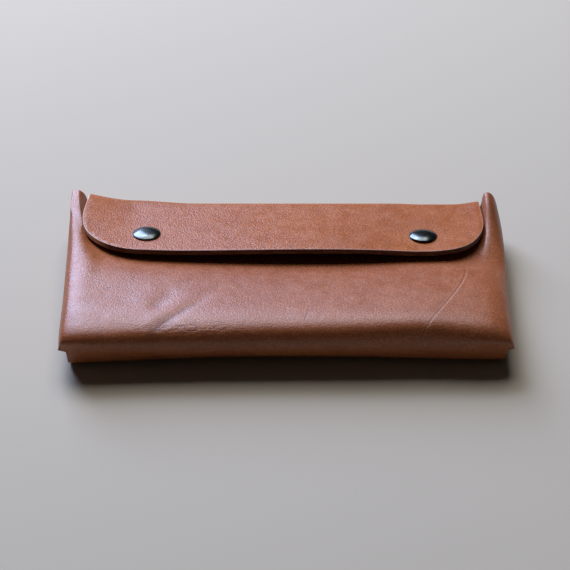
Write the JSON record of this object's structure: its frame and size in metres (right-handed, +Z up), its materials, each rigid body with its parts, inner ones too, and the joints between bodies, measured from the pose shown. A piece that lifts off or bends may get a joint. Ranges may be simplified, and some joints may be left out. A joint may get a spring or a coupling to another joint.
{
  "type": "fountain pen case",
  "caption": "Soft folding leather pen case lying on its back, with a rolled base, pleated side gussets and a round-cornered flap closed by press studs.",
  "frame": {"origin": "under the middle of the case, in the plane that the back panel lies on", "axes": "+X along the case's length to the right, +Y from the base towards the mouth, +Z up through the flap"},
  "size_m": [0.195, 0.1018, 0.023],
  "materials": {
    "tan_leather": "smooth vegetable-tanned, lightly waxed",
    "gusset_leather": "thin, matte",
    "snap_metal": "antique nickel, satin",
    "spring_steel": "bright wire",
    "rivet_metal": "antique nickel, satin"
  },
  "bodies": {
    "case": {"back_panel": "tan_leather", "base_panel": "tan_leather", "left_gusset": "gusset_leather", "right_gusset": "gusset_leather", "left_rivet_posts": "rivet_metal", "left_rivet_caps": "rivet_metal", "right_rivet_posts": "rivet_metal", "right_rivet_caps": "rivet_metal"},
    "fold": {"flap_fold": "tan_leather"},
    "flap": {"flap": "tan_leather", "left_snap_cap": "snap_metal", "right_snap_cap": "snap_metal", "left_snap_socket": "snap_metal", "right_snap_socket": "snap_metal", "left_snap_spring": "spring_steel", "right_snap_spring": "spring_steel"},
    "front": {"front_panel": "tan_leather", "left_snap_stud": "snap_metal", "right_snap_stud": "snap_metal", "left_snap_post": "snap_metal", "right_snap_post": "snap_metal"}
  },
  "joints": [
    {"name": "fold_roll", "type": "hinge", "parent": "case", "child": "fold", "pos_m": [0, 0.04848, 0.00242], "axis": [-1, 0, 0], "range_deg": [0, 84]},
    {"name": "flap_hinge", "type": "hinge", "parent": "fold", "child": "flap", "pos_m": [0, 0.04924, 0.01321], "axis": [-1, 0, 0], "range_deg": [0, 84], "deforming": ["left_snap_spring", "right_snap_spring"]},
    {"name": "front_lift", "type": "hinge", "parent": "case", "child": "front", "pos_m": [0, -0.0429, 0.023], "axis": [1, 0, 0], "range_deg": [0, 10], "deforming": ["left_gusset", "right_gusset"]}
  ],
  "couplings": [
    {"joint": "flap_hinge", "follows": "fold_roll", "ratio": 1},
    {"joint": "front_lift", "follows": "fold_roll", "ratio": 0.119}
  ]
}
